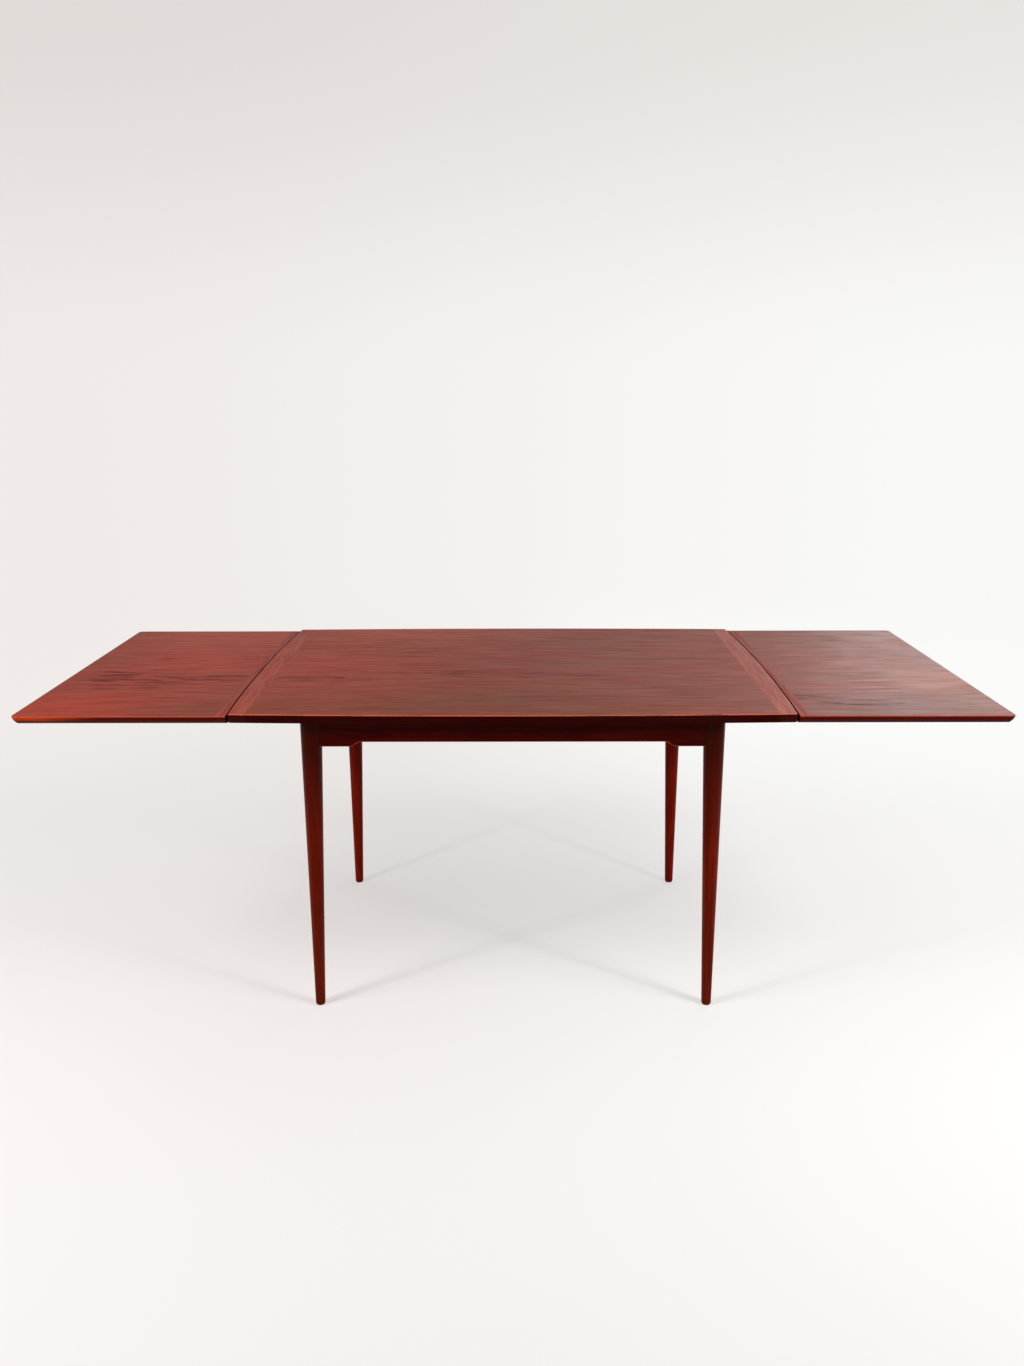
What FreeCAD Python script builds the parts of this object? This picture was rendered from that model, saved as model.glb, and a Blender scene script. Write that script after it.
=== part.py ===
"""Extending dining table: a fixed main top on four turned legs, with a loose leaf at each end.

Millimetres. X runs along the table, Y across it and Z up. The origin is on the floor under the middle
of the top. Each leaf rests on two lopers, bars that pull out of the frame and slide back under the top.
"""
import FreeCAD, Part
import os
from math import asin, atan2, cos, degrees, pi, radians, sin, sqrt
from FreeCAD import Placement, Rotation, Vector

# Main top and leaves
table_height = 730.0
main_length = 1210.0
main_width = 848.0
end_bow = 11.0
side_bow = 11.0
main_thickness = 18.5
leaf_length = 453.0
leaf_thickness = 17.5
seam_gap = 4.0

# Edge moulding: a rounded arris, then a nose from which the edge slopes under in a slight belly.
# The moulding mitres at the main top's corners, and turns round the leaves' corners.
main_corner_radius = 4.0
arris_radius = 2.0
nose_height = 3.0
undercut = 10.5
undercut_bulge = 1.4
leaf_corner_margin = 1.5
seam_arris = 0.8

# Face veneer over the solid edge strips
veneer = 1.0
lipping_width = 24.0

# Cross-grain bands, measured in from the corners, and the tongues that hold them
main_band_width = 35.5
leaf_band_width = 24.0
tongue_thickness = 6.0
tongue_depth = 6.0
tongue_setback = 40.0

# Turned legs, leaning out by the same amount both ways, with feet set in from the corners of the top
leg_top_diameter = 48.8
leg_foot_diameter = 22.2
leg_lean = 10.0
foot_round = 5.0
foot_sink = 0.4
foot_inset_x = 145.0
foot_inset_y = 86.0

# Aprons, with a deeper bracket at each leg
apron_thickness = 20.0
apron_depth = 69.5
apron_face_offset = 14.0
apron_arris = 1.5
bracket_drop = 10.5
bracket_length = 65.0
bracket_curve = 28.0
shoulder_offset = 17.0
tenon_thickness = 10.0
tenon_reveal = 10.0
tenon_gap = 0.5

# Braces in the corners of the frame
block_reach = 62.0
block_clear = 34.0
block_height = 40.0

# Cross rails that guide the lopers, and the strips over them
rail_setback = 218.5
rail_thickness = 22.0
rail_depth = 57.0
rail_tenon_length = 8.0
hold_down_thickness = 3.2
hold_down_width = 40.0
hold_down_overhang = 30.0

# Lopers
loper_width = 22.0
loper_depth = 36.0
loper_arris = 1.0
loper_inset = 89.5
loper_gap = 8.0
loper_setback = 83.0
side_play = 0.5
slide_play = 0.3
tip_round = 14.0
stop_length = 14.0
stop_height = 10.0

# Cleats under the leaves, a little inside their middle
cleat_length = 220.0
cleat_width = 16.0
cleat_height = 14.0
cleat_shift = 40.0

# How far cutting shapes run past what they cut, and how near counts as the same place
overrun = 5.0
touch = 0.01

# Levels
main_under = table_height - main_thickness
rail_top = main_under - hold_down_thickness
bearing = rail_top - slide_play
leaf_top = bearing + leaf_thickness
loper_under = bearing - loper_depth
apron_under = main_under - apron_depth
bracket_under = apron_under - bracket_drop


def bow_radius(half_chord, bow):
    """Radius of the arc that rises by the bow over its half chord."""
    return (half_chord ** 2 + bow ** 2) / (2 * bow)


# Corners of the main top, and the arc that its ends and the leaves' inner ends follow
corner_x = main_length / 2 - end_bow
corner_y = main_width / 2 - side_bow
leaf_corner_radius = undercut + leaf_corner_margin
side_radius = bow_radius(corner_x, side_bow)
side_centre = main_width / 2 - side_radius
end_radius = bow_radius(corner_y, end_bow)
end_centre = main_length / 2 - end_radius
leaf_inner = end_centre + sqrt((end_radius + seam_gap) ** 2 - corner_y ** 2)
leaf_outer = leaf_inner + leaf_length
main_band_line = corner_x - main_band_width
leaf_band_line = leaf_inner + leaf_band_width

# Leg axis at the height of the aprons, and the apron faces that follow it
foot_x = corner_x - foot_inset_x
foot_y = corner_y - foot_inset_y
lean_here = leg_lean * (main_under - apron_depth / 2) / main_under
axis_x = foot_x - lean_here
axis_y = foot_y - lean_here
face_x = axis_x + apron_face_offset
face_y = axis_y + apron_face_offset
inside_x = face_x - apron_thickness
inside_y = face_y - apron_thickness
tenon_length = shoulder_offset + apron_face_offset - (apron_thickness + tenon_thickness) / 2 - tenon_gap

# Loper lines: the right pair runs outside the left pair, so that they pass each other
right_line = inside_y - loper_inset
left_line = right_line - loper_width - loper_gap
rail_middle = inside_x - rail_setback
rail_inner = rail_middle - rail_thickness / 2
loper_tail = rail_inner - slide_play - stop_length
loper_tip = leaf_outer - loper_setback
slot_half = loper_width / 2 + side_play

up = Vector(0, 0, 1)
origin = Vector(0, 0, 0)


def box(xs, ys, zs):
    """Block between low and high values on each axis."""
    return Part.makeBox(xs[1] - xs[0], ys[1] - ys[0], zs[1] - zs[0], Vector(xs[0], ys[0], zs[0]))


def line(start, end):
    return Part.LineSegment(start, end).toShape()


def arc(start, through, end):
    return Part.Arc(start, through, end).toShape()


def extrude(edges, direction):
    """Solid made by pushing a closed outline along a direction."""
    return Part.Face(Part.Wire(edges)).extrude(direction)


def whole(shape):
    """The one solid in a result, with its leftover seams removed."""
    return shape.removeSplitter().Solids[0]


def turned(shape, angle):
    """Copy turned about the vertical axis through the origin."""
    copy = shape.copy()
    copy.rotate(origin, up, angle)
    return copy


def moved(shape, offset):
    copy = shape.copy()
    copy.translate(offset)
    return copy


def across_x(shape):
    """Mirror image on the other end of the table."""
    return shape.mirror(origin, Vector(1, 0, 0))


def across_y(shape):
    """Mirror image on the other side of the table."""
    return shape.mirror(origin, Vector(0, 1, 0))


def moulding_edges(outer, top, under):
    """Outline of the waste under an edge that faces +X and has its nose at X = outer, in the XZ plane."""
    nose = Vector(outer, 0, top - nose_height)
    heel = Vector(outer - undercut, 0, under)
    slope = heel - nose
    belly = (nose + heel) / 2 + Vector(-slope.z, 0, slope.x) * (undercut_bulge / slope.Length)
    clear = outer + overrun
    below = under - overrun
    corners = [heel, Vector(heel.x, 0, below), Vector(clear, 0, below), Vector(clear, 0, nose.z), nose]
    return [arc(nose, belly, heel)] + [line(a, b) for a, b in zip(corners, corners[1:])]


def bevel_edges(outer, top):
    """Outline of the waste at a small bevel between a top and an end that faces -X, in the XZ plane."""
    low = Vector(outer - overrun, 0, top - seam_arris - overrun)
    high = Vector(outer + seam_arris + overrun, 0, top + overrun)
    corner = Vector(low.x, 0, high.z)
    return [line(low, high), line(high, corner), line(corner, low)]


def swept_section(edges, centre, start, sweep):
    """Solid made by turning a closed outline about a vertical axis, from a start direction."""
    section = Part.Face(Part.Wire(edges))
    section.rotate(centre, up, start)
    return section.revolve(centre, up, sweep)


def bowed_moulding(edges, centre_x, half_sweep):
    """Waste along a bowed edge, turned about a point on the X axis."""
    return swept_section(edges, Vector(centre_x, 0, 0), -half_sweep, 2 * half_sweep)


def straight_moulding(edges, ys):
    """Waste under a straight edge that faces +X, between two Y values."""
    return moved(extrude(edges, Vector(0, ys[1] - ys[0], 0)), Vector(0, ys[0], 0))


def corner_moulding(corner):
    """Waste round a leaf's outer corner."""
    waste = swept_section(moulding_edges(leaf_corner_radius, leaf_top, bearing), origin, 0, 90)
    return moved(waste, corner)


def upright_edges(shape):
    return [e for e in shape.Edges if e.BoundBox.XLength < touch and e.BoundBox.YLength < touch]


def edges_at_top(shape, top):
    return [e for e in shape.Edges if e.BoundBox.ZMin > top - touch]


def main_corner():
    """Centre of the rounded corner where X and Y are greatest, which touches both bowed edges."""
    end_reach = end_radius - main_corner_radius
    side_reach = side_radius - main_corner_radius
    between = Vector(end_centre, -side_centre, 0)
    along = (side_reach ** 2 - end_reach ** 2 + between.Length ** 2) / (2 * between.Length)
    aside = sqrt(side_reach ** 2 - along ** 2)
    forward = between / between.Length
    return Vector(0, side_centre, 0) + forward * along + Vector(forward.y, -forward.x, 0) * aside


def main_outline():
    """Outline of the main top at its underside: four bowed edges with slightly rounded corners."""
    corner = main_corner()
    end_turn = degrees(atan2(corner.y, corner.x - end_centre))
    side_turn = degrees(atan2(corner.x, corner.y - side_centre))
    turns = (end_turn, (90 + end_turn - side_turn) / 2, 90 - side_turn)
    rim = [corner + Vector(cos(radians(t)), sin(radians(t)), 0) * main_corner_radius for t in turns]
    signs = ((1, 1), (-1, 1), (-1, -1), (1, -1))
    ends, middles, sides = [[Vector(x * p.x, y * p.y, main_under) for x, y in signs] for p in rim]
    crowns = [Vector(x, y, main_under) for x, y in (
        (0, main_width / 2), (-main_length / 2, 0), (0, -main_width / 2), (main_length / 2, 0))]
    bends = [arc(a, b, c) for a, b, c in zip(ends, middles, sides)]
    return [
        bends[0], arc(sides[0], crowns[0], sides[1]), bends[1], arc(ends[1], crowns[1], ends[2]),
        bends[2], arc(sides[2], crowns[2], sides[3]), bends[3], arc(ends[3], crowns[3], ends[0])]


def main_blank():
    """Main top in one piece: bowed outline, and moulded edges that mitre at the corners."""
    blank = extrude(main_outline(), up * main_thickness)
    blank = blank.makeFillet(arris_radius, edges_at_top(blank, table_height))
    end_turn = degrees(asin((corner_y + overrun) / end_radius))
    side_turn = degrees(asin((corner_x + overrun) / side_radius))
    end = bowed_moulding(moulding_edges(main_length / 2, table_height, main_under), end_centre, end_turn)
    side = bowed_moulding(moulding_edges(main_width / 2, table_height, main_under), side_centre, side_turn)
    return blank.cut([end, turned(side, 90), turned(end, 180), turned(side, -90)])


def main_core():
    """Core board of the main top, inside the lippings and below the veneer."""
    inner_radius = side_radius - lipping_width
    crown = main_width / 2 - lipping_width
    edge_y = crown - inner_radius + sqrt(inner_radius ** 2 - main_band_line ** 2)
    front_left = Vector(-main_band_line, -edge_y, main_under)
    front_right = Vector(main_band_line, -edge_y, main_under)
    rear_right = Vector(main_band_line, edge_y, main_under)
    rear_left = Vector(-main_band_line, edge_y, main_under)
    outline = [
        arc(front_left, Vector(0, -crown, main_under), front_right),
        line(front_right, rear_right),
        arc(rear_right, Vector(0, crown, main_under), rear_left),
        line(rear_left, front_left)]
    return extrude(outline, up * (main_thickness - veneer))


def tongue(start, top, thickness):
    """Tongue that a panel's end pushes into its band, on the +X side of a joint line."""
    middle = top - thickness / 2
    half_width = corner_y - tongue_setback
    return box((start, start + tongue_depth), (-half_width, half_width),
               (middle - tongue_thickness / 2, middle + tongue_thickness / 2))


def main_top():
    """Panel, end bands and edge lippings of the main top."""
    blank = main_blank()
    reach_x = (-main_band_line, main_band_line)
    reach_y = (-main_width, main_width)
    veneer_line = table_height - veneer
    middle = blank.common(box(reach_x, reach_y, (main_under, table_height)))
    core = main_core()
    face = middle.common(box(reach_x, reach_y, (veneer_line, table_height)))
    tongues = tongue(main_band_line, table_height, main_thickness)
    panel = core.fuse([face, tongues, across_x(tongues)])
    below = middle.common(box(reach_x, (-main_width, 0), (main_under, veneer_line)))
    lipping = whole(below.cut(core))
    band = blank.common(box((main_band_line, main_length), reach_y, (main_under, table_height)))
    band = whole(band.cut(tongues))
    return {
        "top_panel": whole(panel),
        "top_band_left": across_x(band),
        "top_band_right": band,
        "top_lipping_front": lipping,
        "top_lipping_rear": across_y(lipping)}


def leaf_blank():
    """Right leaf in one piece: hollowed inner end, moulded sides and outer end."""
    front_inner = Vector(leaf_inner, -corner_y, bearing)
    front_outer = Vector(leaf_outer, -corner_y, bearing)
    rear_outer = Vector(leaf_outer, corner_y, bearing)
    rear_inner = Vector(leaf_inner, corner_y, bearing)
    hollow = Vector(main_length / 2 + seam_gap, 0, bearing)
    outline = [
        line(front_inner, front_outer),
        line(front_outer, rear_outer),
        line(rear_outer, rear_inner),
        arc(rear_inner, hollow, front_inner)]
    blank = extrude(outline, up * leaf_thickness)
    outer_corners = [e for e in upright_edges(blank) if e.BoundBox.XMax > leaf_outer - touch]
    blank = blank.makeFillet(leaf_corner_radius, outer_corners)
    corner = Vector(leaf_outer - leaf_corner_radius, corner_y - leaf_corner_radius, 0)
    moulded = [e for e in edges_at_top(blank, leaf_top) if e.BoundBox.XMax > leaf_band_line]
    blank = blank.makeFillet(arris_radius, moulded)
    seam_turn = degrees(asin((corner_y + overrun) / (end_radius + seam_gap)))
    seam = bowed_moulding(bevel_edges(hollow.x, leaf_top), end_centre, seam_turn)
    end = straight_moulding(moulding_edges(leaf_outer, leaf_top, bearing), (-corner.y, corner.y))
    side = straight_moulding(moulding_edges(corner_y, leaf_top, bearing), (-corner.x, -corner_x))
    side = turned(side, 90)
    bend = corner_moulding(corner)
    return blank.cut([seam, end, side, across_y(side), bend, across_y(bend)])


def leaf():
    """Panel, inner band and edge lippings of the right leaf, by the last part of their names."""
    blank = leaf_blank()
    reach_x = (leaf_band_line, leaf_outer)
    reach_y = (-corner_y, corner_y)
    lip_x = leaf_outer - lipping_width
    lip_y = corner_y - lipping_width
    veneer_line = leaf_top - veneer
    below = (bearing, veneer_line)
    core = box((leaf_band_line, lip_x), (-lip_y, lip_y), below)
    face = blank.common(box(reach_x, reach_y, (veneer_line, leaf_top)))
    key = moved(tongue(leaf_band_line, leaf_top, leaf_thickness), Vector(-tongue_depth, 0, 0))
    front = whole(blank.common(box(reach_x, (-corner_y, -lip_y), below)))
    end = blank.common(box((lip_x, leaf_outer), (-lip_y, lip_y), below))
    band = blank.common(box((corner_x, leaf_band_line), reach_y, (bearing, leaf_top)))
    return {
        "panel": whole(core.fuse([face, key])),
        "band": whole(band.cut(key)),
        "lipping_front": front,
        "lipping_rear": across_y(front),
        "lipping_end": whole(end)}


def cleats(loper_line):
    """Pair of strips under the right leaf that fit between its two lopers."""
    start = (leaf_inner + leaf_outer - cleat_length) / 2 - cleat_shift
    high = loper_line - loper_width / 2 - side_play
    strip = box((start, start + cleat_length), (high - cleat_width, high), (bearing - cleat_height, bearing))
    return Part.makeCompound([strip, across_y(strip)])


def bracket_sweep(start, end):
    """Two arcs, level at both ends, that join two heights of an apron's lower edge."""
    half_run = (end.x - start.x) / 2
    half_rise = (end.z - start.z) / 2
    radius = (half_run ** 2 + half_rise ** 2) / (2 * half_rise)
    half_turn = asin(half_run / radius) / 2
    bulge = Vector(radius * sin(half_turn), 0, radius * (1 - cos(half_turn)))
    middle = (start + end) / 2
    return [arc(start, start + bulge, middle), arc(middle, end - bulge, end)]


def apron(half_span):
    """Apron along X, its outer face on the XZ plane and its body on the +Y side."""
    deep = half_span - bracket_length
    shallow = deep - bracket_curve
    right = bracket_sweep(Vector(deep, 0, bracket_under), Vector(shallow, 0, apron_under))
    left = bracket_sweep(Vector(-shallow, 0, apron_under), Vector(-deep, 0, bracket_under))
    top_right = Vector(half_span, 0, main_under)
    top_left = Vector(-half_span, 0, main_under)
    low_right = Vector(half_span, 0, bracket_under)
    low_left = Vector(-half_span, 0, bracket_under)
    outline = [line(top_left, top_right), line(top_right, low_right)]
    outline += [line(low_right, Vector(deep, 0, bracket_under))] + right
    outline += [line(Vector(shallow, 0, apron_under), Vector(-shallow, 0, apron_under))] + left
    outline += [line(Vector(-deep, 0, bracket_under), low_left), line(low_left, top_left)]
    board = extrude(outline, Vector(0, apron_thickness, 0))
    lower_front = [e for e in board.Edges if e.BoundBox.YMax < touch and e.BoundBox.XLength > touch
                   and e.BoundBox.ZMax < apron_under + touch]
    board = board.makeChamfer(apron_arris, lower_front)
    cheek = (apron_thickness - tenon_thickness) / 2
    half_length = half_span + tenon_length
    tenons = box((-half_length, half_length), (cheek, cheek + tenon_thickness),
                 (bracket_under + tenon_reveal, main_under - tenon_reveal))
    middle = box((-half_span, half_span), (0, apron_thickness), (bracket_under, main_under))
    return whole(board.fuse(tenons.cut(middle)))


def loper_slots(lines, across):
    """Slots, open at the top, for the lopers that run on these lines."""
    return [box(across, (y - slot_half, y + slot_half), (loper_under, main_under + overrun))
            for line_y in lines for y in (-line_y, line_y)]


def cross_rail():
    """Right guide rail: tenoned between the long aprons, with slots for all four lopers."""
    across = (rail_inner, rail_inner + rail_thickness)
    cheek = (rail_thickness - tenon_thickness) / 2
    low = rail_top - rail_depth
    reach = inside_y + rail_tenon_length
    bar = box(across, (-inside_y, inside_y), (low, rail_top))
    tenons = box((across[0] + cheek, across[1] - cheek), (-reach, reach),
                 (low + tenon_reveal, rail_top - tenon_reveal))
    return whole(bar.fuse(tenons).cut(loper_slots((right_line, left_line), across)))


def hold_down():
    """Right strip between a cross rail and the top, over the tails of the lopers."""
    reach = right_line + loper_width / 2 + hold_down_overhang
    return box((rail_middle - hold_down_width / 2, rail_middle + hold_down_width / 2), (-reach, reach),
               (rail_top, main_under))


def corner_block():
    """Brace in the corner where X and Y are positive, clear of the leg behind it."""
    low = main_under - block_height
    corners = [
        Vector(inside_x - block_reach, inside_y, low),
        Vector(inside_x - block_clear, inside_y, low),
        Vector(inside_x, inside_y - block_clear, low),
        Vector(inside_x, inside_y - block_reach, low)]
    following = corners[1:] + corners[:1]
    return extrude([line(a, b) for a, b in zip(corners, following)], up * block_height)


def leg():
    """Turned leg where X and Y are positive, cut level at the floor and under the top."""
    foot = Vector(foot_x, foot_y, 0)
    rise = Vector(foot_x - leg_lean, foot_y - leg_lean, main_under) - foot
    bend_centre = Vector(leg_foot_diameter / 2 - foot_round, 0, foot_round - foot_sink)
    rims = [bend_centre + Vector(sin(t), 0, -cos(t)) * foot_round for t in (0, pi / 4, pi / 2)]
    rims += [Vector(leg_top_diameter / 2, 0, rise.Length + overrun)]
    rings = [Part.Wire(Part.makeCircle(rim.x, Vector(0, 0, rim.z))) for rim in rims]
    turning = Part.makeLoft(rings, True, True)
    turning.Placement = Placement(foot, Rotation(up, rise))
    return turning.common(box((0, main_length), (0, main_width), (0, main_under)))


def frame():
    """Legs, aprons, braces, guide rails and hold-down strips."""
    long_apron = apron(axis_x - shoulder_offset)
    end_apron = apron(axis_y - shoulder_offset)
    rail = cross_rail()
    rails = [rail, across_x(rail)]
    front = whole(moved(long_apron, Vector(0, -face_y, 0)).cut(rails))
    rear = whole(turned(moved(long_apron, Vector(0, -face_y, 0)), 180).cut(rails))
    end = turned(moved(end_apron, Vector(0, -face_x, 0)), 90)
    slot_reach = (inside_x - overrun, face_x + overrun)
    right = whole(end.cut(loper_slots([right_line], slot_reach)))
    left = across_x(whole(end.cut(loper_slots([left_line], slot_reach))))
    block = corner_block()
    corner_leg = leg()
    strip = hold_down()
    pieces = {
        "apron_front": front,
        "apron_rear": rear,
        "apron_left": left,
        "apron_right": right,
        "cross_rail_left": across_x(rail),
        "cross_rail_right": rail,
        "hold_down_left": across_x(strip),
        "hold_down_right": strip}
    for side, to_side in (("front", across_y), ("rear", Part.Shape.copy)):
        for hand, to_hand in (("left", across_x), ("right", Part.Shape.copy)):
            standing = to_side(to_hand(corner_leg))
            pieces[f"leg_{side}_{hand}"] = whole(standing.cut([front, rear, left, right]))
            pieces[f"corner_block_{side}_{hand}"] = to_side(to_hand(block))
    return pieces


def loper(line_y):
    """Right loper on a line behind the middle, with its lower tip rounded."""
    half = loper_width / 2
    bar = box((loper_tail, loper_tip), (line_y - half, line_y + half), (loper_under, bearing))
    lower_tip = [e for e in bar.Edges
                 if e.BoundBox.XMin > loper_tip - touch and e.BoundBox.ZMax < loper_under + touch]
    bar = bar.makeFillet(tip_round, lower_tip)
    lower_long = [e for e in bar.Edges if e.BoundBox.YLength < touch and e.BoundBox.XLength > touch
                  and e.BoundBox.ZMax < bearing - touch]
    return bar.makeChamfer(loper_arris, lower_long)


def stop_block(line_y):
    """Block under the tail of a right loper, which meets a cross rail at each end of the travel."""
    half = loper_width / 2
    return box((loper_tail, loper_tail + stop_length), (line_y - half, line_y + half),
               (loper_under - stop_height, loper_under))


def moving_pieces(hand, line_y, to_hand):
    """Lopers, stop blocks and leaf at one end of the table."""
    pieces = {}
    for side, to_side in (("front", across_y), ("rear", Part.Shape.copy)):
        pieces[f"loper_{hand}_{side}"] = to_side(to_hand(loper(line_y)))
        pieces[f"loper_stop_{hand}_{side}"] = to_side(to_hand(stop_block(line_y)))
    for name, shape in leaf().items():
        pieces[f"leaf_{hand}_{name}"] = to_hand(shape)
    pieces[f"leaf_{hand}_cleats"] = to_hand(cleats(line_y))
    return pieces


table = main_top()
table.update(frame())
table.update(moving_pieces("left", left_line, across_x))
table.update(moving_pieces("right", right_line, Part.Shape.copy))
os.makedirs("parts", exist_ok=True)
for node, shape in table.items():
    shape.exportStep(f"parts/{node}.step")
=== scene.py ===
import math
import bpy
from mathutils import Matrix, Vector


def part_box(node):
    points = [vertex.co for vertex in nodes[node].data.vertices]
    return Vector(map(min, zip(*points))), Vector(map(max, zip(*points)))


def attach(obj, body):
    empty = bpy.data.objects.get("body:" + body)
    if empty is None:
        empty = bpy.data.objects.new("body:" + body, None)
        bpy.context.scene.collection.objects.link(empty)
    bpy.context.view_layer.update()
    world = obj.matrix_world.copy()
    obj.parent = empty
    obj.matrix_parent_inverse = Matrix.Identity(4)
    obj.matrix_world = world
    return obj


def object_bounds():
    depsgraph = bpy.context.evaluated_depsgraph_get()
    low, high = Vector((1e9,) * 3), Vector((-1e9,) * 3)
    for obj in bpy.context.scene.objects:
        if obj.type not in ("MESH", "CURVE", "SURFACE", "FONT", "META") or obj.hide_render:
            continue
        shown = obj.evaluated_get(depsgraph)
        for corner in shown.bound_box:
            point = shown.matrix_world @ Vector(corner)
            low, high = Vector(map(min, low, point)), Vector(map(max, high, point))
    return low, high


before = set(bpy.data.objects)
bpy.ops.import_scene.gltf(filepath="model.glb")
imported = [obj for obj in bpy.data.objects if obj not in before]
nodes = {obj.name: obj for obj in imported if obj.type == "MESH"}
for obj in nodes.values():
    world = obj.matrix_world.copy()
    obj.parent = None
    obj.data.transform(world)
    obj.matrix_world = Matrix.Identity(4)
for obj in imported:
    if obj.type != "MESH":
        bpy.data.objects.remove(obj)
cad_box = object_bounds()


# Main panel
# The broad middle of the top: a core board under a red-brown veneer with its grain along the table,
# stained and lacquered to a satin sheen. The underside has a plain, dull backing veneer.
def colour(red, green, blue):
    """Shader colour for a shade that is written as it looks, each part from 0 to 255."""
    full, toe_end, toe_slope, lift, power = 255, 0.04045, 12.92, 0.055, 2.4
    parts = [part / full for part in (red, green, blue)]
    return [p / toe_slope if p <= toe_end else ((p + lift) / (1 + lift)) ** power for p in parts] + [1.0]


def add_node(finish, kind, inputs, **options):
    """Shader node with its options set, and its inputs given as values or as other nodes' outputs."""
    node = finish.node_tree.nodes.new("ShaderNode" + kind)
    for option, value in options.items():
        setattr(node, option, value)
    for socket, value in inputs.items():
        if isinstance(value, bpy.types.NodeSocket):
            finish.node_tree.links.new(value, node.inputs[socket])
        else:
            node.inputs[socket].default_value = value
    return node


def reckon(finish, operation, first, second=0.0):
    """One step of arithmetic on two numbers."""
    return add_node(finish, "Math", {0: first, 1: second}, operation=operation).outputs[0]


def shifted(finish, operation, first, second=(0, 0, 0)):
    """One step of arithmetic on two places."""
    return add_node(finish, "VectorMath", {0: first, 1: second}, operation=operation).outputs[0]


def span(finish, place):
    """Length of a place's line from the origin."""
    return add_node(finish, "VectorMath", {0: place}, operation="LENGTH").outputs["Value"]


def fade(finish, value, low, high, start=0.0, end=1.0):
    """Smooth change from start, where the value is low, to end, where it is high."""
    limits = {"Value": value, "From Min": low, "From Max": high, "To Min": start, "To Max": end}
    return add_node(finish, "MapRange", limits, interpolation_type="SMOOTHSTEP").outputs["Result"]


def tinted(finish, share, first, second):
    """Colour that goes from the first to the second as the share goes from 0 to 1."""
    return add_node(finish, "Mix", {0: share, 6: first, 7: second}, data_type="RGBA").outputs[2]


def streaks(finish, place, lengthwise, crosswise, detail):
    """Noise drawn out along the grain, with so many waves in a metre each way."""
    stretched = shifted(finish, "MULTIPLY", place, (lengthwise, crosswise, crosswise))
    return add_node(finish, "TexNoise", {"Vector": stretched, "Scale": 1.0, "Detail": detail}).outputs[0]


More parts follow.
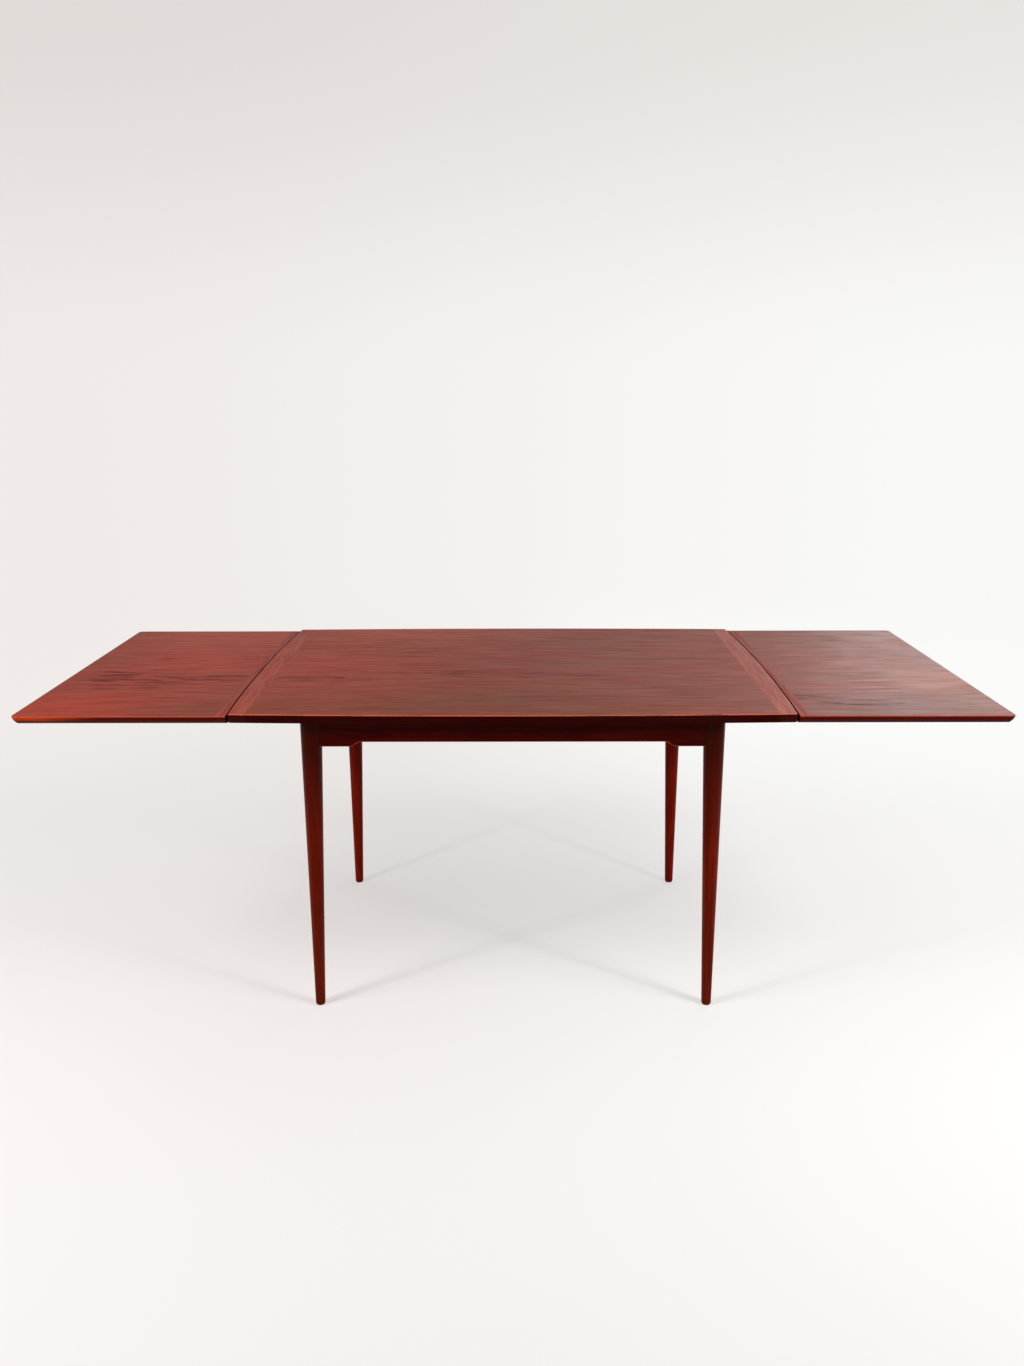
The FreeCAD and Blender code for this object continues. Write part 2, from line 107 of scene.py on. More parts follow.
def wood_finish(name, grain, shades, roughness, shine, shift=(0, 0, 0), figures=(), stain_and_light_patches=(), edge_stain_and_shading=None,
                painted_light_faces=(), rim=None, dull=None):
    """Lacquered wood with its grain along X, Y or Z.

    The shades are pale wood, deep wood, the other hue of its soft blotches, figure lines and pores. Shine
    is the strength of the lacquer's gleam. Each figure is a patch of cathedral grain: centre, reach, ring
    width and strength. Each patch is stain, painted light or painted shade laid on the wood: centre, reach,
    shade and strength. Edge is the shades of an upright nose and of the undercut below it, a deeper stain
    with painted light and shade. Each painted face is an arris or face with its own painted highlight or
    painted shade: the way it faces, its shade and strength. Rim is a painted shadow line round an arc:
    centre, radius, width and shade. Dull is the shade of a bare underside.
    """
    finish = bpy.data.materials.new(name)
    finish.use_nodes = True
    shader = finish.node_tree.nodes["Principled BSDF"]
    pale, deep, hue, figure_shade, pore_shade = shades
    source = add_node(finish, "TexCoord", {})
    here, normal = source.outputs["Object"], source.outputs["Normal"]
    turns = {"X": (0, 0, 0), "Y": (0, 0, -math.pi / 2), "Z": (0, math.pi / 2, 0)}
    laid = {"Vector": here, "Location": shift, "Rotation": turns[grain]}
    place = add_node(finish, "Mapping", laid).outputs["Vector"]

    # Slow wander of the grain lines: its waves in a metre, and how far it takes them aside
    wander_waves, wander_reach = (1.2, 6.0, 6.0), (0.0, 0.014, 0.014)
    noise_middle = (0.5, 0.5, 0.5)
    slow = shifted(finish, "MULTIPLY", place, wander_waves)
    wander = add_node(finish, "TexNoise", {"Vector": slow, "Scale": 1.0, "Detail": 2.0}).outputs[1]
    wander = shifted(finish, "MULTIPLY", shifted(finish, "SUBTRACT", wander, noise_middle), wander_reach)
    wandering = shifted(finish, "ADD", place, wander)

    # Ribbons, fibres and threads along the grain, soft blotches, short dark pores and longer dashes
    ribbon = fade(finish, streaks(finish, wandering, lengthwise=3.0, crosswise=70, detail=4.0), 0.34, 0.66)
    fibre = fade(finish, streaks(finish, wandering, lengthwise=9, crosswise=150, detail=4.0), 0.32, 0.68)
    thread = fade(finish, streaks(finish, wandering, lengthwise=18, crosswise=620, detail=2.0), 0.25, 0.75)
    blotch = streaks(finish, place, lengthwise=2.8, crosswise=12.0, detail=4.0)
    blotch = fade(finish, blotch, 0.38, 0.64, end=0.6)
    pore = fade(finish, streaks(finish, wandering, lengthwise=42, crosswise=950, detail=1.0), 0.60, 0.74)
    dash = fade(finish, streaks(finish, wandering, lengthwise=11, crosswise=95, detail=1.0), 0.64, 0.76)
    ribbon_share, fibre_share, thread_share = 0.30, 0.42, 0.28
    tone = reckon(finish, "MULTIPLY", ribbon, ribbon_share)
    tone = reckon(finish, "ADD", tone, reckon(finish, "MULTIPLY", fibre, fibre_share))
    tone = reckon(finish, "ADD", tone, reckon(finish, "MULTIPLY", thread, thread_share))
    shade = tinted(finish, tone, pale, deep)
    shade = tinted(finish, blotch, shade, tinted(finish, tone, hue, deep))
    bright = reckon(finish, "MULTIPLY", fade(finish, tone, 0.2, 0.8, start=1.2, end=0.8), shine)

    # End grain drinks more stain; the sides take a deeper stain, with painted light and shade on nose and
    # undercut; and patches are laid on, some of them stain and some painted light and shade
    facing = add_node(finish, "SeparateXYZ", {"Vector": normal}).outputs
    end_on = reckon(finish, "ABSOLUTE", facing[grain])
    shade = tinted(finish, fade(finish, end_on, 0.80, 0.97, end=0.4), shade, pore_shade)
    upward = facing["Z"]
    if edge_stain_and_shading:
        nose_stain_and_shading, undercut_stain_and_shading = edge_stain_and_shading
        edge_shine, edge_strength = 0.04, 0.94
        undercut = fade(finish, upward, -0.40, -0.10, start=1, end=0)
        profile = tinted(finish, undercut, nose_stain_and_shading, undercut_stain_and_shading)
        shade = tinted(finish, fade(finish, upward, 0.15, 0.45, start=edge_strength, end=0), shade, profile)
        gleam = fade(finish, upward, 0.30, 0.80, start=min(edge_shine / shine, 1), end=1)
        bright = reckon(finish, "MULTIPLY", bright, gleam)
    for centre, reach, glow, strength in stain_and_light_patches:
        offset = shifted(finish, "DIVIDE", shifted(finish, "SUBTRACT", here, centre), reach)
        near = fade(finish, span(finish, offset), 0, 1, start=strength, end=0)
        near = reckon(finish, "MULTIPLY", near, fade(finish, tone, 0.1, 0.9, start=1, end=0.5))
        shade = tinted(finish, near, shade, glow)
    pore_strength, dash_strength = 0.35, 0.30
    shade = tinted(finish, reckon(finish, "MULTIPLY", pore, pore_strength), shade, pore_shade)
    shade = tinted(finish, reckon(finish, "MULTIPLY", dash, dash_strength), shade, pore_shade)

    # Cathedral figure: broken dark rings round a long eye, and flecks among them, all with less gleam
    if figures:
        ring_bend, ring_stretch = (0, 2.6, 0), (0.13, 1.0, 0.0)
        unbroken = streaks(finish, wandering, lengthwise=9, crosswise=80, detail=1.0)
        unbroken = fade(finish, unbroken, 0.44, 0.54, end=0.8)
        fleck = streaks(finish, wandering, lengthwise=13, crosswise=100, detail=0.5)
        fleck = fade(finish, fleck, 0.51, 0.59)
        fleck = reckon(finish, "MULTIPLY", fleck, fade(finish, fibre, 0.15, 0.65, start=0.3))
    for centre, reach, ring, strength in figures:
        offset = shifted(finish, "SUBTRACT", here, centre)
        bent = shifted(finish, "ADD", offset, shifted(finish, "MULTIPLY", wander, ring_bend))
        eye = span(finish, shifted(finish, "MULTIPLY", bent, ring_stretch))
        age = reckon(finish, "FRACT", reckon(finish, "DIVIDE", eye, ring))
        line = reckon(finish, "MULTIPLY", fade(finish, age, 0.55, 0.85), fade(finish, age, 0.90, 1, 1, 0))
        line = reckon(finish, "MULTIPLY", line, unbroken)
        near = span(finish, shifted(finish, "DIVIDE", offset, reach))
        near = fade(finish, near, 0.3, 1, start=strength, end=0)
        mark = reckon(finish, "MULTIPLY", reckon(finish, "MAXIMUM", line, fleck), near)
        shade = tinted(finish, mark, shade, figure_shade)
        bright = reckon(finish, "MULTIPLY", bright, fade(finish, mark, 0, 1, start=1, end=0.3))

    # Painted highlights and painted shade on arrises and faces, a painted shadow line along a seam, and an
    # underside that may be bare
    smoother, rougher = 0.03, 0.04
    rough = fade(finish, fibre, 0, 1, start=roughness - smoother, end=roughness + rougher)
    for direction, face_light_shade, strength in painted_light_faces:
        turned = add_node(finish, "VectorMath", {0: normal, 1: direction}, operation="DOT_PRODUCT")
        painted_share = fade(finish, turned.outputs["Value"], 0.74, 0.92, end=strength)
        painted_share = reckon(finish, "MULTIPLY", painted_share, fade(finish, ribbon, 0, 1, start=1, end=0.75))
        shade = tinted(finish, painted_share, shade, face_light_shade)
    if rim:
        centre, radius, width, rim_shadow = rim
        solid_width = 0.6 * width
        level = shifted(finish, "MULTIPLY", shifted(finish, "SUBTRACT", here, centre), (1, 1, 0))
        past = reckon(finish, "ABSOLUTE", reckon(finish, "SUBTRACT", span(finish, level), radius))
        clear = fade(finish, past, solid_width, width)
        shade = tinted(finish, clear, rim_shadow, shade)
        bright = reckon(finish, "MULTIPLY", clear, bright)
    if dull:
        backing_cover, backing_roughness = 0.75, 0.25
        beneath = fade(finish, upward, -0.95, -0.85, start=1, end=0)
        shade = tinted(finish, reckon(finish, "MULTIPLY", beneath, backing_cover), shade, dull)
        rough = reckon(finish, "ADD", rough, reckon(finish, "MULTIPLY", beneath, backing_roughness))
    pore_depth = 0.8
    height = reckon(finish, "SUBTRACT", thread, reckon(finish, "MULTIPLY", pore, pore_depth))
    relief = add_node(finish, "Bump", {"Height": height, "Strength": 0.08, "Distance": 0.0004})
    finish.node_tree.links.new(shade, shader.inputs["Base Color"])
    finish.node_tree.links.new(rough, shader.inputs["Roughness"])
    finish.node_tree.links.new(relief.outputs["Normal"], shader.inputs["Normal"])
    finish.node_tree.links.new(bright, shader.inputs["Specular IOR Level"])
    return finish


def lay_finish(finish, *names):
    """Gives pieces of the frame this finish all over."""
    for name in names:
        nodes[name].data.materials.clear()
        nodes[name].data.materials.append(finish)


veneer_shades = (colour(150, 59, 37), colour(118, 39, 23), colour(118, 70, 40), colour(82, 12, 7),
                 colour(72, 20, 13))
veneer_roughness, veneer_shine = 0.44, 0.17
backing_shade = colour(112, 66, 46)
slope = 0.707
front_arris, rear_arris = (0, -slope, slope), (0, slope, slope)
# Painted highlight along the front arrises, and painted shade along the rear arrises that turn from the light
arris_highlight, arris_shadow = colour(224, 104, 74), colour(52, 10, 7)
long_arris_light = [(front_arris, arris_highlight, 0.85), (rear_arris, arris_shadow, 0.9)]
top_level = cad_box[1][2]
panel_figures = [((-0.47, -0.12, top_level), (0.20, 0.045, 0.1), 0.011, 0.6),
                 ((-0.14, -0.07, top_level), (0.16, 0.05, 0.1), 0.010, 0.7),
                 ((0.10, -0.09, top_level), (0.20, 0.05, 0.1), 0.010, 0.45),
                 ((-0.25, 0.12, top_level), (0.14, 0.04, 0.1), 0.012, 0.5)]
# Patches on the panel: the redder left half and the paler back left are painted light; the olive-brown front
# middle is the veneer's own tone
panel_tone_and_light = [((-0.50, 0.05, top_level), (0.50, 0.60, 0.2), colour(170, 60, 40), 0.7),
               ((-0.30, 0.40, top_level), (0.60, 0.26, 0.2), colour(180, 80, 60), 0.7),
               ((0.05, -0.33, top_level), (0.55, 0.22, 0.2), colour(104, 52, 22), 0.6)]
main_veneer = wood_finish(
    "main_veneer", "X", veneer_shades, veneer_roughness, veneer_shine, figures=panel_figures,
    stain_and_light_patches=panel_tone_and_light, painted_light_faces=long_arris_light, dull=backing_shade)
lay_finish(main_veneer, "top_panel")

# Cross-grain bands of the main top
# Solid strips at the two ends, tongued on to the panel with their grain across the table, moulded and
# bowed along the outer edge. Their paler shades are painted sheen, the gleam that cross grain catches,
# so they read as a lighter border.
band_sheen_shades = (colour(170, 70, 48), colour(140, 52, 34), colour(152, 74, 50), colour(92, 30, 20),
               colour(108, 36, 26))
band_roughness, main_band_shine = 0.42, 0.17
# The sides' deeper stain, with a nose painted dark as shade and an undercut painted bright as light
main_edge_stain_and_shading = (colour(40, 2, 1), colour(176, 26, 8))
# Painted highlight along the band's arris that faces the seam
seam_arris_highlight = colour(226, 136, 110)
for hand, outward, slide in (("left", -slope, 0.0), ("right", slope, 3.1)):
    band_arris_light = long_arris_light + [((outward, 0, slope), seam_arris_highlight, 0.9)]
    band_finish = wood_finish(
        f"main_band_{hand}", "Y", band_sheen_shades, band_roughness, main_band_shine, shift=(slide, 0, 0),
        edge_stain_and_shading=main_edge_stain_and_shading, painted_light_faces=band_arris_light, dull=backing_shade)
    lay_finish(band_finish, f"top_band_{hand}")

# Edge lippings of the main top
# Solid strips glued along the core under the veneer, moulded to a rounded arris, a short nose and a
# bellied undercut, and stained a deeper red than the veneer above them. The dark nose is painted shade
# and the bright red undercut painted light.
lipping_shades = (colour(104, 17, 4), colour(72, 9, 2), colour(96, 26, 4), colour(50, 8, 3), colour(56, 9, 3))
lipping_roughness, main_lipping_shine = 0.40, 0.04
main_lipping = wood_finish(
    "main_lipping", "X", lipping_shades, lipping_roughness, main_lipping_shine, edge_stain_and_shading=main_edge_stain_and_shading,
    painted_light_faces=long_arris_light, dull=backing_shade)
lay_finish(main_lipping, "top_lipping_front", "top_lipping_rear")

# Legs
# Round legs turned from solid stock, tapered to the foot and leaning out a little both ways. The grain
# runs up the leg, whose head is darkened by a painted shadow of the top. The rear pair have lighter,
# redder shades: painted light, as they stand more brightly lit.
front_leg_shades = (colour(126, 27, 1), colour(88, 14, 1), colour(112, 34, 1), colour(48, 8, 1),
                    colour(56, 10, 1))
# The rear legs' lighter shades are painted light
rear_leg_lit_shades = (colour(168, 34, 1), colour(126, 18, 1), colour(144, 40, 1), colour(58, 10, 1),
                   colour(74, 12, 1))
leg_roughness, leg_shine = 0.32, 0.05
# Painted shadow of the top over each leg's head
leg_top_shadow, leg_top_shadow_reach, leg_top_shadow_strength = colour(34, 2, 1), (0.25, 0.25, 0.40), 0.9
for side, shades, side_shift in (("front", front_leg_shades, 0.0), ("rear", rear_leg_lit_shades, 1.7)):
    for hand, hand_shift in (("left", 0.0), ("right", 0.9)):
        leg_low, leg_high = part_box(f"leg_{side}_{hand}")
        leg_head = ((leg_low[0] + leg_high[0]) / 2, (leg_low[1] + leg_high[1]) / 2, leg_high[2])
        leg_finish = wood_finish(
            f"leg_{side}_{hand}", "Z", shades, leg_roughness, leg_shine,
            shift=(side_shift + hand_shift, 0, 0),
            stain_and_light_patches=[(leg_head, leg_top_shadow_reach, leg_top_shadow, leg_top_shadow_strength)])
        lay_finish(leg_finish, f"leg_{side}_{hand}")

# Aprons
# Straight boards tenoned between the legs, with a deeper bracket swept down at each leg. Stained darker
# than the top and darker still with painted shade under the top's overhang, with a small bevel along
# the lower edge that carries a painted highlight. The end boards are notched for the pull-out bars.
apron_stain_and_shade = (colour(86, 8, 1), colour(60, 4, 1), colour(78, 14, 1), colour(40, 5, 1), colour(44, 6, 1))
apron_roughness, apron_shine = 0.42, 0.05
bevel_highlight, bevel_highlight_strength = colour(240, 104, 56), 0.9
apron_bevels = (("apron_front", "X", (0, -slope, -slope)), ("apron_rear", "X", (0, slope, -slope)),
                ("apron_left", "Y", (-slope, 0, -slope)), ("apron_right", "Y", (slope, 0, -slope)))
for name, grain, bevel in apron_bevels:
    apron_finish = wood_finish(
        f"{name}_wood", grain, apron_stain_and_shade, apron_roughness, apron_shine,
        painted_light_faces=[(bevel, bevel_highlight, bevel_highlight_strength)])
    lay_finish(apron_finish, name)

# Corner braces, guide rails and hold-down strips
# Plain beech pieces inside the frame, left unstained: braces glued in the corners, rails that carry the
# tails of the pull-out bars, and thin strips over them. Slotted steel screws hold them to the top.
raw_shades = (colour(204, 162, 120), colour(178, 130, 92), colour(196, 146, 104), colour(150, 100, 68),
              colour(158, 108, 76))
raw_roughness, raw_shine = 0.62, 0.20
raw_along = wood_finish("raw_beech_x", "X", raw_shades, raw_roughness, raw_shine)
raw_across = wood_finish("raw_beech_y", "Y", raw_shades, raw_roughness, raw_shine)
hands, sides = ("left", "right"), ("front", "rear")
lay_finish(raw_along, *[f"corner_block_{side}_{hand}" for side in sides for hand in hands])
lay_finish(raw_across, "cross_rail_left", "cross_rail_right", "hold_down_left", "hold_down_right")

steel = bpy.data.materials.new("dulled_steel")
steel.use_nodes = True
steel_shader = steel.node_tree.nodes["Principled BSDF"]
steel_shader.inputs["Metallic"].default_value = 1.0
steel_place = add_node(steel, "TexCoord", {}).outputs["Object"]
tarnish = streaks(steel, steel_place, lengthwise=420, crosswise=420, detail=3.0)
tarnish = fade(steel, tarnish, 0.35, 0.65)
steel_shade = tinted(steel, tarnish, colour(176, 172, 166), colour(126, 116, 104))
steel_roughness = fade(steel, tarnish, 0, 1, start=0.32, end=0.55)
steel.node_tree.links.new(steel_shade, steel_shader.inputs["Base Color"])
steel.node_tree.links.new(steel_roughness, steel_shader.inputs["Roughness"])

head_radius, head_height, upright = 0.0042, 0.0016, 0.9
crown_steps = ((0.0010, 0.0004), (0.0012, 0.0002))
slot_width, slot_height, slot_rise = 0.0010, 0.0018, 0.0004
slot_length = 4 * head_radius
bpy.ops.object.select_all(action="DESELECT")
bpy.ops.mesh.primitive_cylinder_add(vertices=32, radius=head_radius, depth=head_height)
head = bpy.context.object
head.name = "screw_head"
bpy.ops.object.mode_set(mode="EDIT")
bpy.ops.mesh.select_all(action="DESELECT")
bpy.ops.object.mode_set(mode="OBJECT")
for face in head.data.polygons:
    face.select = face.normal.z > upright
bpy.ops.object.mode_set(mode="EDIT")
for narrowing, rise in crown_steps:
    bpy.ops.mesh.inset(thickness=narrowing)
    bpy.ops.transform.translate(value=(0, 0, rise))
bpy.ops.object.mode_set(mode="OBJECT")
bpy.ops.object.select_all(action="DESELECT")
bpy.ops.mesh.primitive_cube_add(size=1, location=(0, 0, head_height / 2 + slot_rise))
cutter = bpy.context.object
cutter.scale = (slot_length, slot_width, slot_height)
bpy.ops.object.transform_apply(location=False, rotation=False, scale=True)
bpy.ops.object.select_all(action="DESELECT")
head.select_set(True)
bpy.context.view_layer.objects.active = head
bpy.ops.object.modifier_add(type="BOOLEAN")
head.modifiers[0].operation = "DIFFERENCE"
head.modifiers[0].object = cutter
bpy.ops.object.modifier_apply(modifier=head.modifiers[0].name)
bpy.data.objects.remove(cutter)
head.data.materials.append(steel)
screw_count = 0
slot_turn = 2.4


def drive_screw(place, facing, body):
    """Screw with its head at a place on a surface that faces this way, moving with this body."""
    global screw_count
    screw_count += 1
    turn = Vector(facing).to_track_quat("Z", "Y").to_matrix().to_4x4()
    mesh = head.data.copy()
    mesh.transform(Matrix.Translation(place) @ turn @ Matrix.Rotation(slot_turn * screw_count, 4, "Z"))
    screw = bpy.data.objects.new(f"screw_{screw_count:02d}", mesh)
    bpy.context.scene.collection.objects.link(screw)
    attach(screw, body)


def inset(name, x_share, y_share):
    """Place on the underside of a piece, by shares of its length and width."""
    low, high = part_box(name)
    return Vector((low[0] + (high[0] - low[0]) * x_share, low[1] + (high[1] - low[1]) * y_share, low[2]))


down, middle = (0, 0, -1), 0.5
brace_corner_share = 0.113
slant_screw_rise, slant_screw_step = 0.020, 0.015
rail_screw_shares, strip_screw_shares = (0.30, 0.70), (0.11, 0.89)
for hand in hands:
    outward_x = -1 if hand == "left" else 1
    for side in sides:
        outward_y = -1 if side == "front" else 1
        brace = f"corner_block_{side}_{hand}"
        x_share, y_share = middle + brace_corner_share * outward_x, middle + brace_corner_share * outward_y
        drive_screw(inset(brace, x_share, y_share), down, "frame")
        slant = inset(brace, middle, middle) + Vector((0, 0, slant_screw_rise))
        for step in (-slant_screw_step, slant_screw_step):
            slant_place = slant + Vector((step * outward_x, -step * outward_y, 0))
            drive_screw(slant_place, (-outward_x, -outward_y, 0), "frame")
    for y_share in rail_screw_shares:
        drive_screw(inset(f"cross_rail_{hand}", middle, y_share), down, "frame")
        for x_share in strip_screw_shares:
            drive_screw(inset(f"hold_down_{hand}", x_share, y_share), down, "frame")

# Pull-out bars
# Four beech bars that slide out of the frame to carry the leaves, waxed so that they run, each with a
# stop block screwed under its tail.
bar_shades = (colour(198, 150, 106), colour(168, 116, 78), colour(186, 132, 88), colour(134, 84, 54),
              colour(142, 90, 60))
bar_roughness, bar_shine = 0.45, 0.30
waxed_bar = wood_finish("waxed_bar", "X", bar_shades, bar_roughness, bar_shine)
for hand in hands:
    for side in sides:
        lay_finish(waxed_bar, f"loper_{hand}_{side}", f"loper_stop_{hand}_{side}")
        drive_screw(inset(f"loper_stop_{hand}_{side}", middle, middle), down, f"loper_{hand}_{side}_bar")

# Leaves
# Loose end leaves built like the main top: veneered panel, cross-grain band at the hollowed inner end,
# moulded lippings on the three free edges, and two beech cleats that sit between the pull-out bars.
leaf_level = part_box("leaf_left_panel")[1][2]
left_figures = [((-0.88, -0.10, leaf_level), (0.24, 0.15, 0.1), 0.017, 0.95),
                ((-0.70, -0.10, leaf_level), (0.11, 0.06, 0.1), 0.014, 0.9),
                ((-0.95, 0.10, leaf_level), (0.20, 0.05, 0.1), 0.012, 0.4)]
# Painted warm light on the left leaf: a redder body, a paler back and an orange front corner
left_painted_light = [((-0.80, 0.10, leaf_level), (0.50, 0.60, 0.2), colour(176, 60, 37), 0.8),
              ((-0.75, 0.40, leaf_level), (0.50, 0.30, 0.2), colour(182, 82, 58), 0.7),
              ((-0.97, -0.34, leaf_level), (0.34, 0.24, 0.1), colour(174, 44, 10), 0.75)]
right_figures = [((0.66, -0.26, leaf_level), (0.09, 0.05, 0.1), 0.012, 1.0),
                 ((0.76, -0.32, leaf_level), (0.16, 0.06, 0.1), 0.013, 0.9),
                 ((0.86, 0.31, leaf_level), (0.05, 0.05, 0.1), 0.012, 0.8)]
# A paler patch at the right leaf's outer end, and painted shade at its front
right_pale_patch_and_shade = [((0.97, -0.12, leaf_level), (0.14, 0.24, 0.1), colour(178, 108, 76), 0.4),
               ((0.80, -0.38, leaf_level), (0.42, 0.22, 0.1), colour(98, 42, 24), 0.7)]
leaf_band_shades = (colour(166, 58, 38), colour(132, 42, 27), colour(138, 60, 40), colour(92, 30, 20),
                    colour(100, 32, 22))
leaf_lipping_shades = (colour(132, 20, 4), colour(96, 11, 2), colour(120, 30, 4), colour(50, 8, 3),
                       colour(66, 9, 3))
leaf_lipping_shine = 0.06
# The leaf's sides: the lipping's stain on the nose, and painted shade on the undercut
leaf_edge_stain_and_shading = (colour(128, 19, 4), colour(76, 8, 2))
# Painted highlight along the leaf's front arrises, and painted shade along the rear ones
leaf_long_arris_light = [(front_arris, colour(196, 78, 52), 0.75), (rear_arris, arris_shadow, 0.9)]
# Painted highlight on the nose near the left leaf's outer front corner
nose_highlight = [((-1.01, -0.413, 0.721), (0.16, 0.03, 0.012), colour(232, 84, 34), 0.8)]
leaf_lipping = wood_finish(
    "leaf_lipping", "X", leaf_lipping_shades, lipping_roughness, leaf_lipping_shine, stain_and_light_patches=nose_highlight,
    edge_stain_and_shading=leaf_edge_stain_and_shading, painted_light_faces=leaf_long_arris_light)
# Painted shadow of the seam between leaf and main top: a dark line round the leaf band's inner arc
seam_gap, seam_line_width, seam_shadow = 0.004, 0.0030, colour(58, 10, 6)
panel_slide_x, panel_slide_y, band_slide = 0.7, 0.09, 1.3
cleat_screw_shares, cleat_screw_sides = (0.14, 0.5, 0.86), (0.02, 0.98)

# Each leaf: hand, way out, figures, patches of painted light and shade, slide of its grain and shine of its
# band
leaf_works = (("left", -slope, left_figures, left_painted_light, 0.0, 0.17),
              ("right", slope, right_figures, right_pale_patch_and_shade, 2.3, 0.06))
for hand, outward, figures, stain_and_light_patches, slide, leaf_band_shine in leaf_works:
    # Painted shade on the arris of the leaf's outer end
    leaf_arris_light = leaf_long_arris_light + [((outward, 0, slope), arris_shadow, 0.8)]
    leaf_veneer = wood_finish(
        f"leaf_{hand}_veneer", "X", veneer_shades, veneer_roughness, veneer_shine,
        shift=(slide + panel_slide_x, panel_slide_y, 0), figures=figures, stain_and_light_patches=stain_and_light_patches, painted_light_faces=leaf_arris_light,
        dull=backing_shade)
    lay_finish(leaf_veneer, f"leaf_{hand}_panel")
    band_low, band_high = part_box(f"leaf_{hand}_band")
    inner_x = max(band_low[0], -band_high[0])
    crown_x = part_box("top_band_right")[1][0] + seam_gap
    hollow = crown_x - inner_x
    seam_radius = (band_high[1] ** 2 + hollow ** 2) / (2 * hollow)
    seam_centre = (math.copysign(crown_x - seam_radius, -outward), 0, 0)
    # The leaf band's inner end also carries the painted seam shadow
    seam_face_light = leaf_long_arris_light + [((math.copysign(1, -outward), 0, 0), seam_shadow, 1.0)]
    leaf_band = wood_finish(
        f"leaf_{hand}_band", "Y", leaf_band_shades, band_roughness, leaf_band_shine,
        shift=(slide + band_slide, 0, 0), edge_stain_and_shading=leaf_edge_stain_and_shading, painted_light_faces=seam_face_light,
        rim=(seam_centre, seam_radius, seam_line_width, seam_shadow), dull=backing_shade)
    lay_finish(leaf_band, f"leaf_{hand}_band")
    lay_finish(leaf_lipping, f"leaf_{hand}_lipping_front", f"leaf_{hand}_lipping_rear")
    end_lipping = wood_finish(
        f"leaf_{hand}_end_lipping", "Y", leaf_lipping_shades, lipping_roughness, leaf_lipping_shine,
        shift=(slide, 0, 0), edge_stain_and_shading=leaf_edge_stain_and_shading, painted_light_faces=leaf_arris_light)
    lay_finish(end_lipping, f"leaf_{hand}_lipping_end")
    lay_finish(raw_along, f"leaf_{hand}_cleats")
    for x_share in cleat_screw_shares:
        for y_share in cleat_screw_sides:
            drive_screw(inset(f"leaf_{hand}_cleats", x_share, y_share), down, f"leaf_{hand}")
bpy.data.objects.remove(head)

# Studio floor
# A wide pale sweep of matt paper that keeps only faint shadows, because about half of what shows of it
# near the table is its own glow. Far from the table it fades into the background.
floor_reach = 40.0
bpy.ops.object.select_all(action="DESELECT")
bpy.ops.mesh.primitive_plane_add(size=2 * floor_reach, location=(0, 0, 0))
floor = bpy.context.object
floor.name = "studio_floor"
paper = bpy.data.materials.new("studio_paper")
paper.use_nodes = True
paper_shader = paper.node_tree.nodes["Principled BSDF"]
paper_shader.inputs["Roughness"].default_value = 0.9
paper_shader.inputs["Specular IOR Level"].default_value = 0.0
rays = add_node(paper, "LightPath", {}).outputs
seen = reckon(paper, "MAXIMUM", rays["Is Camera Ray"], rays["Is Glossy Ray"])
seen = reckon(paper, "MAXIMUM", seen, rays["Is Transmission Ray"])
paper_bounce, paper_seen = colour(178, 174, 170), colour(255, 254, 253)
paper_shade = tinted(paper, seen, paper_bounce, paper_seen)
paper.node_tree.links.new(paper_shade, paper_shader.inputs["Base Color"])

# Painted light: the paper's own glow, strongest far off, brighter to the right and dimmer towards the front
haze_left, haze_right = colour(240, 235, 232), colour(249, 249, 247)
haze_span = (-0.42, 0.42)
glow_left, glow_right, glow_front = colour(240, 236, 234), colour(253, 253, 252), colour(230, 229, 230)
front_spot, viewer_spot = (0, -0.7, 0), (0, -2.61, 0)
paper_place = add_node(paper, "TexCoord", {}).outputs["Object"]
paper_front = span(paper, shifted(paper, "SUBTRACT", paper_place, front_spot))
paper_haze = fade(paper, paper_front, 0.5, 3.5, start=0.53)
paper_haze = reckon(paper, "MULTIPLY", paper_haze, seen)
paper_way = shifted(paper, "NORMALIZE", shifted(paper, "SUBTRACT", paper_place, viewer_spot))
paper_side = add_node(paper, "SeparateXYZ", {"Vector": paper_way}).outputs["X"]
paper_far = tinted(paper, fade(paper, paper_side, *haze_span), haze_left, haze_right)
paper_spot = add_node(paper, "SeparateXYZ", {"Vector": paper_place}).outputs
paper_near = tinted(paper, fade(paper, paper_spot["X"], -0.7, 0.9), glow_left, glow_right)
paper_near = tinted(paper, fade(paper, paper_spot["Y"], -1.7, -0.4), glow_front, paper_near)
paper_glow = tinted(paper, fade(paper, span(paper, paper_place), 1.2, 5.5), paper_near, paper_far)
glow = add_node(paper, "Emission", {"Color": paper_glow, "Strength": 1.0}).outputs[0]
swept = add_node(paper, "MixShader", {0: paper_haze, 1: paper_shader.outputs[0], 2: glow})
paper.node_tree.links.new(swept.outputs[0], paper.node_tree.nodes["Material Output"].inputs["Surface"])
floor.data.materials.append(paper)

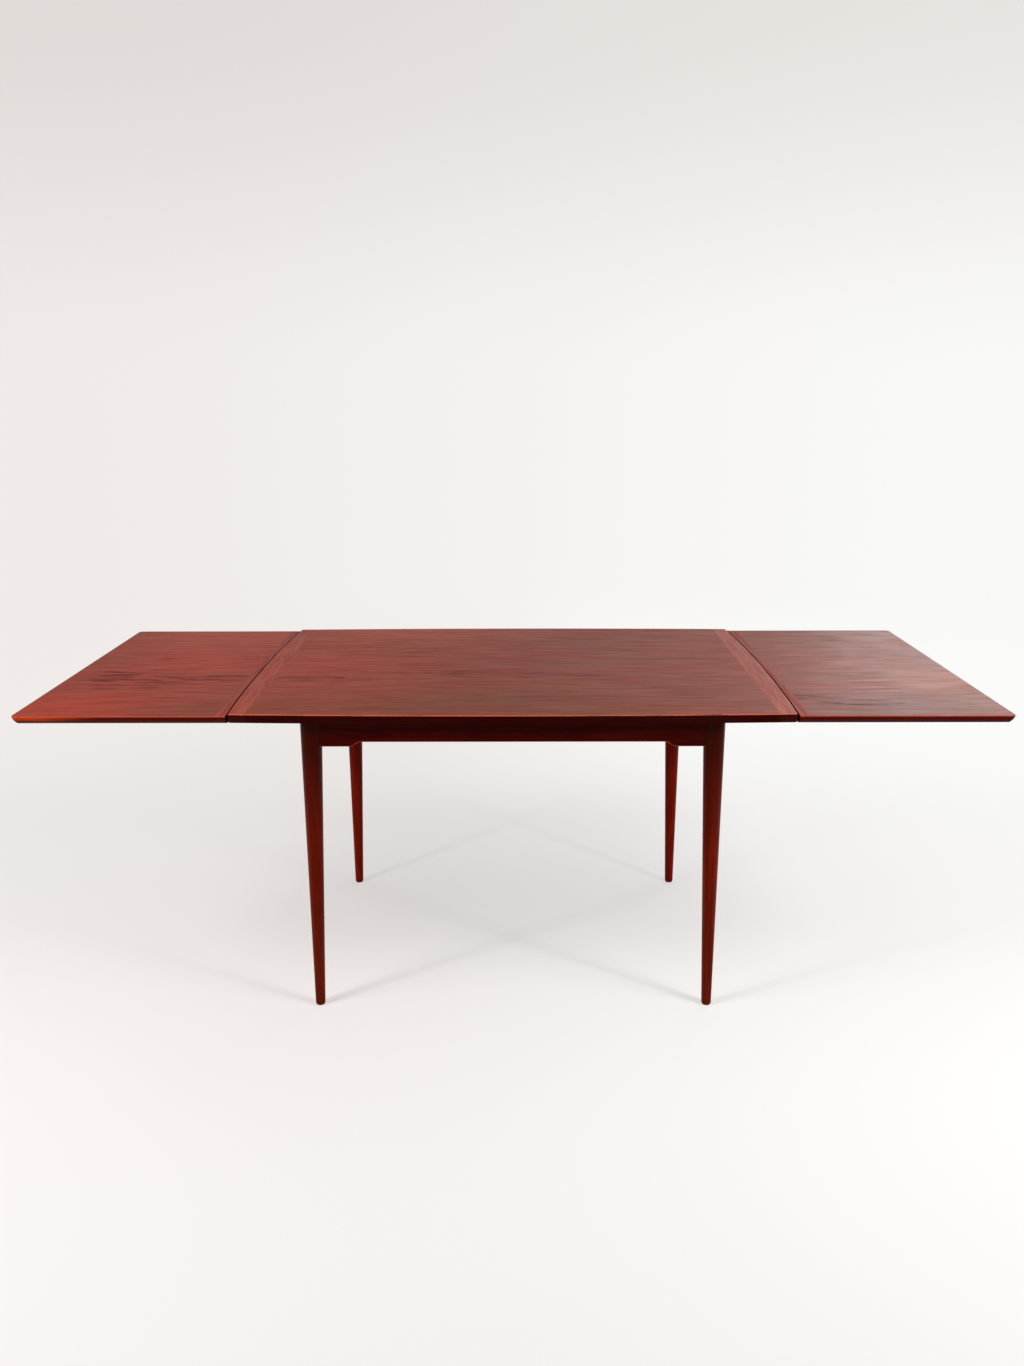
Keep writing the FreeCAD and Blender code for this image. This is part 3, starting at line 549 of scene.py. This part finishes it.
# Studio light
# Two softboxes high at the left and right, two small lamps lower down that draw the legs' shadows, a
# softbox behind to the right for a sheen on the top, and a surround that is darker on the camera's side.
surround = bpy.data.worlds.new("surround")
bpy.context.scene.world = surround
surround.use_nodes = True
backdrop = surround.node_tree.nodes["Background"]
upper_left, upper_right = colour(224, 218, 215), colour(231, 228, 224)
ambient, unlit = colour(166, 165, 165), colour(0, 0, 0)
sky = add_node(surround, "TexCoord", {}).outputs["Generated"]
sky_parts = add_node(surround, "SeparateXYZ", {"Vector": sky}).outputs
sideways = fade(surround, sky_parts["X"], *haze_span)
haze = tinted(surround, sideways, haze_left, haze_right)
upper = tinted(surround, sideways, upper_left, upper_right)
sky_shade = tinted(surround, fade(surround, sky_parts["Z"], 0.0, 0.30), haze, upper)
rays = add_node(surround, "LightPath", {}).outputs
behind = fade(surround, sky_parts["Y"], -0.75, 0.15, start=0.18)
rightward = fade(surround, sky_parts["X"], -0.18, 0.34, start=0.62, end=1.20)
low_sky = fade(surround, sky_parts["Z"], 0.20, 0.30, start=1.25, end=0.76)
sheen = reckon(surround, "MULTIPLY", behind, reckon(surround, "MULTIPLY", rightward, low_sky))
mirrored = add_node(surround, "VectorMath", {0: sky_shade, "Scale": sheen}, operation="SCALE").outputs[0]
scattered = tinted(surround, behind, unlit, ambient)
unseen = tinted(surround, rays["Is Glossy Ray"], scattered, mirrored)
sky_light = tinted(surround, rays["Is Camera Ray"], unseen, sky_shade)
surround.node_tree.links.new(sky_light, backdrop.inputs["Color"])


def softbox(name, place, aim, size, power, warmth, gleams=True):
    """Square area lamp that faces a point, and that may show as a gleam in the lacquer."""
    lamp = bpy.data.lights.new(name, "AREA")
    lamp.size = size
    lamp.energy = power
    lamp.color = warmth
    holder = bpy.data.objects.new(name, lamp)
    bpy.context.scene.collection.objects.link(holder)
    holder.location = place
    holder.visible_glossy = gleams
    holder.rotation_euler = (Vector(aim) - Vector(place)).to_track_quat("-Z", "Y").to_euler()


high_aim, low_aim, rear_aim = (0, 0, 0.5), (0, 0, 0.3), (0.6, 0, 0.7)
high_size, low_size, rear_size = 1.2, 0.25, 1.6
warm, mild, pale, cool = (1.0, 0.95, 0.91), (1.0, 0.97, 0.94), (1.0, 0.98, 0.97), (0.97, 0.99, 1.0)
high_left, high_right = (-2.3, -1.5, 2.7), (2.3, -1.5, 2.7)
low_left, low_right = (-2.4, -1.7, 1.45), (2.4, -1.7, 1.45)
rear_right = (2.4, 2.9, 1.9)
softbox("softbox_left", high_left, high_aim, high_size, power=43, warmth=warm)
softbox("softbox_right", high_right, high_aim, high_size, power=42, warmth=pale)
softbox("low_left", low_left, low_aim, low_size, power=24, warmth=warm, gleams=False)
softbox("low_right", low_right, low_aim, low_size, power=23, warmth=mild, gleams=False)
softbox("softbox_rear", rear_right, rear_aim, rear_size, power=18, warmth=cool)

# Camera
# At standing height in front of the table, a little to the right of its middle.
image_size = (1024, 1366)
focal_pixels = 1100.0
camera_place = (0.0108, -2.6078, 1.391)
pitch, turn, roll = math.radians(15.141), math.radians(0.293), math.radians(-0.152)
lens = bpy.data.cameras.new("camera")
lens.sensor_width = 36.0
lens.lens = lens.sensor_width * focal_pixels / max(image_size)
camera = bpy.data.objects.new("camera", lens)
bpy.context.scene.collection.objects.link(camera)
tilt = Matrix.Rotation(math.pi / 2 - pitch, 4, "X") @ Matrix.Rotation(roll, 4, "Z")
camera.matrix_world = Matrix.Translation(camera_place) @ Matrix.Rotation(turn, 4, "Z") @ tilt
bpy.context.scene.camera = camera
bpy.context.scene.view_settings.view_transform = "Standard"
